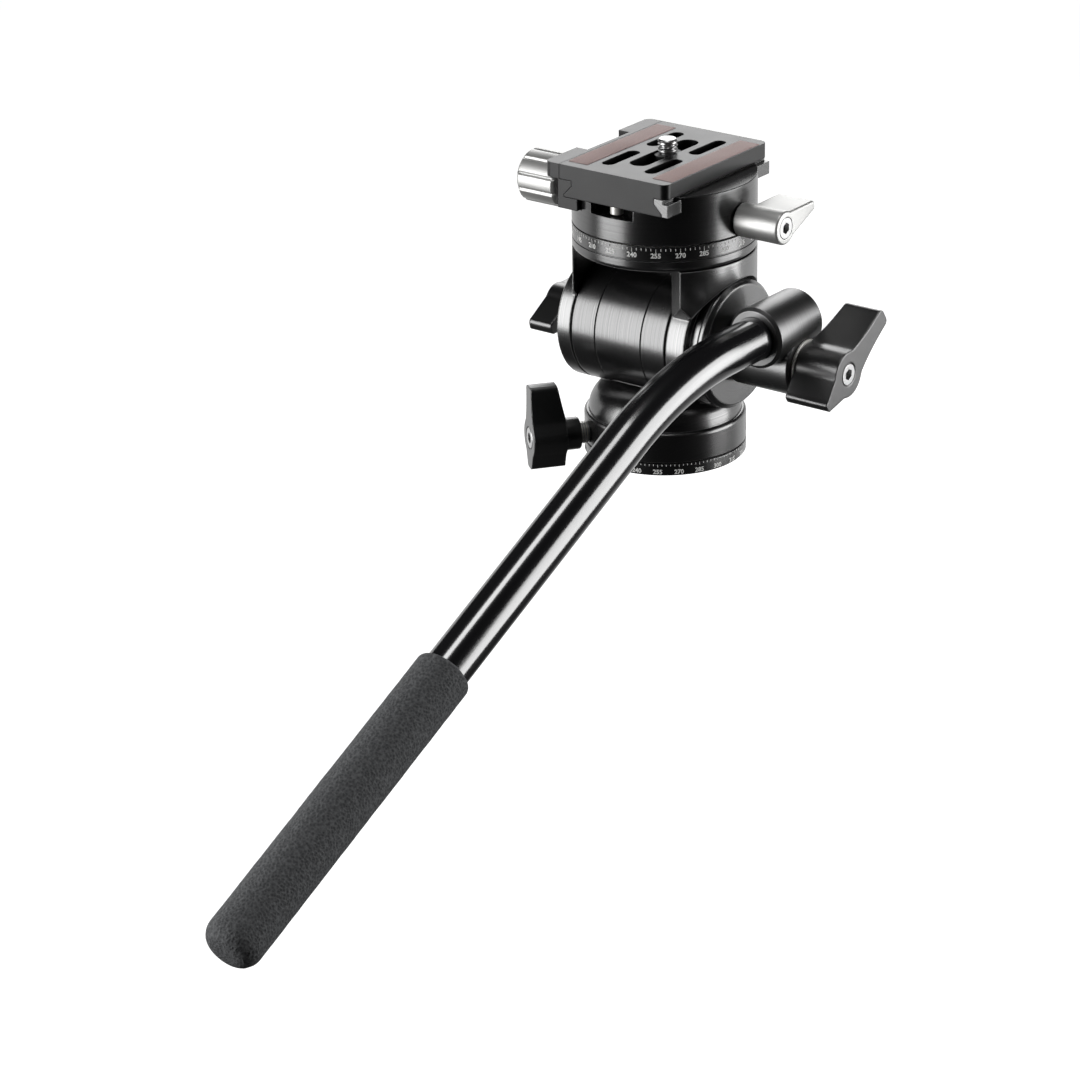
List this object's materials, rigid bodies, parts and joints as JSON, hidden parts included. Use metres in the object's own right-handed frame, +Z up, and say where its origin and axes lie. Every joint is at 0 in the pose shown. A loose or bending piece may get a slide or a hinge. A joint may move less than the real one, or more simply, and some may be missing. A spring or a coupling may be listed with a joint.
{
  "type": "fluid head",
  "caption": "Black fluid tripod head with pan and tilt joints, screw clamp for a camera plate, lock levers and a bent side handle with a foam grip.",
  "frame": {"origin": "centre of the tripod thread at the foot of the base ring", "axes": "+Z up along the pan axis, +X along the tilt axis towards the handle side, +Y away from the operator; the handle points to -Y"},
  "size_m": [0.1206, 0.3067, 0.163],
  "materials": {
    "black_anodised": "satin",
    "black_gloss": "gloss",
    "lever_black": "satin",
    "foam": "matte",
    "silver": "satin",
    "steel": "satin",
    "brass": "satin",
    "washer": "matte",
    "pad": "matte"
  },
  "bodies": {
    "base": {"base_plate": "black_anodised", "thread_bush": "steel", "pan_washer": "washer"},
    "pan": {"pan_body": "black_anodised", "pan_set_screws": "steel", "pan_shoe": "brass", "housing_left": "black_anodised", "housing_right": "black_anodised", "tilt_bushes": "brass"},
    "pan_lock": {"pan_lever": "lever_black", "pan_stud": "steel"},
    "yoke": {"yoke_disc": "black_anodised", "left_arm": "black_anodised", "right_arm": "black_anodised", "yoke_screws": "steel", "tilt_shaft": "steel", "rotor_left": "black_anodised", "rotor_right": "black_anodised", "rosette": "steel", "upper_bolt": "steel", "upper_washer": "washer"},
    "tilt_lock": {"tilt_lever": "lever_black", "tilt_stud": "steel"},
    "handle": {"handle_bracket": "black_anodised", "handle_tube": "black_gloss", "grip": "foam"},
    "handle_lock": {"handle_lever": "lever_black", "handle_bolt": "steel", "handle_washer": "steel"},
    "head": {"upper_body": "black_anodised", "upper_shoe": "brass"},
    "upper_lock": {"upper_lever": "silver", "upper_stud": "steel"},
    "jaw": {"clamp_jaw": "black_anodised", "jaw_pins": "steel"},
    "clamp": {"clamp_knob": "silver", "clamp_collar": "steel", "clamp_screw": "steel", "clamp_clip": "steel"},
    "plate": {"plate": "black_anodised", "plate_strips": "pad", "plate_stops": "steel"},
    "slider": {"screw_slider": "black_anodised"},
    "screw": {"camera_screw": "steel"}
  },
  "joints": [
    {"name": "pan_turn", "type": "hinge", "parent": "base", "child": "pan", "pos_m": [0, 0, 0], "axis": [0, 0, 1], "continuous": true},
    {"name": "pan_lock_turn", "type": "hinge", "parent": "pan", "child": "pan_lock", "pos_m": [-0.01847, -0.02364, 0.0082], "axis": [-0.6157, -0.788, 0], "range_deg": [-120, 60]},
    {"name": "tilt_turn", "type": "hinge", "parent": "pan", "child": "yoke", "pos_m": [0, 0, 0.0418], "axis": [1, 0, 0], "range_deg": [-90, 60]},
    {"name": "tilt_lock_turn", "type": "hinge", "parent": "yoke", "child": "tilt_lock", "pos_m": [-0.04, 0, 0.0418], "axis": [-1, 0, 0], "range_deg": [-90, 90]},
    {"name": "handle_turn", "type": "hinge", "parent": "yoke", "child": "handle", "pos_m": [0.045, 0, 0.0402], "axis": [1, 0, 0], "range_deg": [-45, 60]},
    {"name": "handle_lock_turn", "type": "hinge", "parent": "handle", "child": "handle_lock", "pos_m": [0.06, 0, 0.0402], "axis": [1, 0, 0], "range_deg": [-90, 90]},
    {"name": "head_turn", "type": "hinge", "parent": "yoke", "child": "head", "pos_m": [0, 0, 0.079], "axis": [0, 0, 1], "continuous": true},
    {"name": "upper_lock_turn", "type": "hinge", "parent": "head", "child": "upper_lock", "pos_m": [0.035, 0, 0.0842], "axis": [1, 0, 0], "range_deg": [-60, 90]},
    {"name": "jaw_slide", "type": "slide", "parent": "head", "child": "jaw", "axis": [-1, 0, 0], "range_m": [0, 0.004]},
    {"name": "clamp_turn", "type": "hinge", "parent": "jaw", "child": "clamp", "pos_m": [-0.04, -0.006, 0.0869], "axis": [-1, 0, 0], "range_deg": [0, 1800]},
    {"name": "plate_slide", "type": "slide", "parent": "head", "child": "plate", "axis": [0, 1, 0], "range_m": [-0.006, 0.006]},
    {"name": "slider_slide", "type": "slide", "parent": "plate", "child": "slider", "axis": [0, 1, 0], "range_m": [-0.013, 0.0095]},
    {"name": "screw_turn", "type": "hinge", "parent": "slider", "child": "screw", "pos_m": [0, 0.0018, 0.1009], "axis": [0, 0, 1], "continuous": true}
  ],
  "couplings": [
    {"joint": "clamp_turn", "follows": "jaw_slide", "rad_per_m": 7854}
  ]
}
